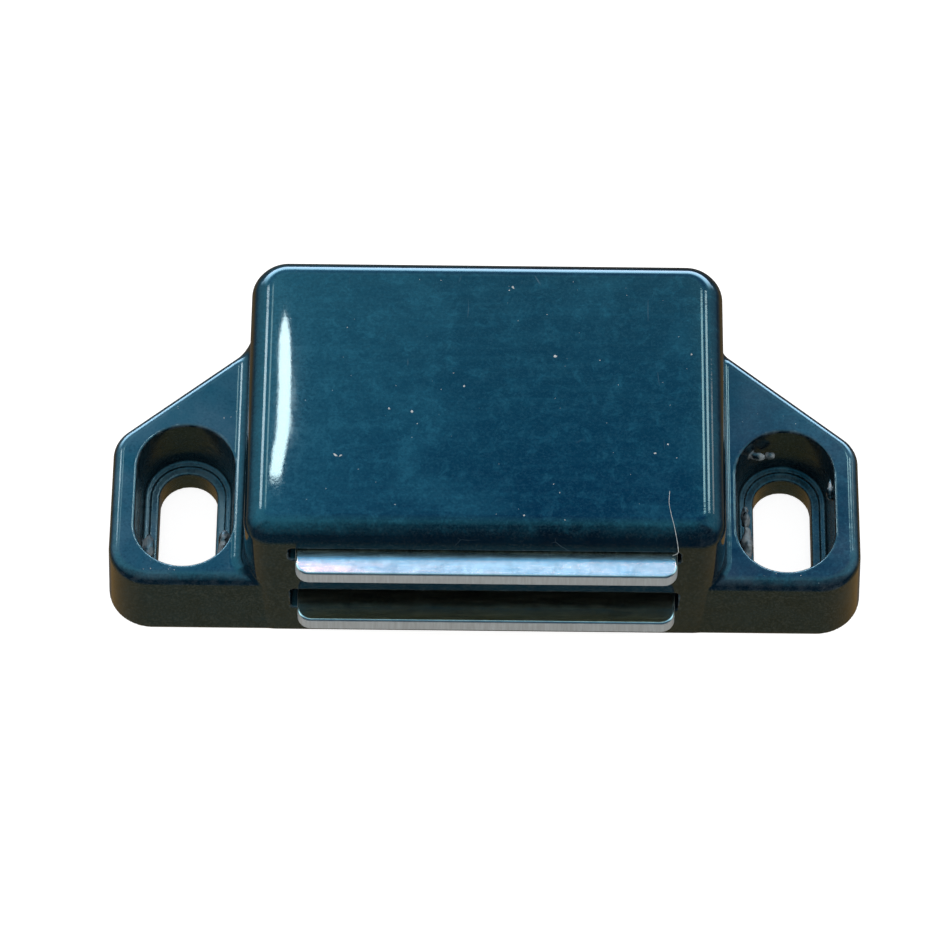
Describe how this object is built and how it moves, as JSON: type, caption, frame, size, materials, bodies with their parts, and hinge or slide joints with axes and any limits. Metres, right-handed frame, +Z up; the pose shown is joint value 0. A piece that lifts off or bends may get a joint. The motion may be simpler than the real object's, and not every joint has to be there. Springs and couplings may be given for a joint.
{
  "type": "magnetic door catch",
  "caption": "Screw-on magnetic catch for a cabinet door: slotted ears beside a boxy plastic case, steel pole plates standing out of its front, ferrite magnet between them.",
  "frame": {"origin": "bottom centre of the bounding box, on the mounting face", "axes": "+X along the length over the ears, -Y out of the front where the pole plates meet the strike, +Z up from the mounting face"},
  "size_m": [0.06, 0.0284, 0.0145],
  "materials": {
    "housing_plastic": "high-gloss blue-black moulding, fine scratches and dust",
    "cover_plastic": "black moulding, fine spark-eroded texture",
    "plated_steel": "bright zinc-plated sheet steel, sheared edges",
    "ferrite": "dark grey sintered ferrite, ground faces"
  },
  "bodies": {
    "case": {"housing": "housing_plastic", "base_cover": "cover_plastic"},
    "magnet": {"magnet_block": "ferrite"},
    "upper_plate": {"upper_pole_plate": "plated_steel"},
    "lower_plate": {"lower_pole_plate": "plated_steel"}
  },
  "joints": [
    {"name": "pack_play", "type": "slide", "parent": "case", "child": "magnet", "axis": [1, 0, 0], "range_m": [-0.00045, 0.00015]},
    {"name": "upper_plate_play", "type": "slide", "parent": "magnet", "child": "upper_plate", "axis": [0, 1, 0], "range_m": [-0.0003, 0.0003]},
    {"name": "lower_plate_play", "type": "slide", "parent": "magnet", "child": "lower_plate", "axis": [0, 1, 0], "range_m": [-0.0003, 0.0003]}
  ]
}
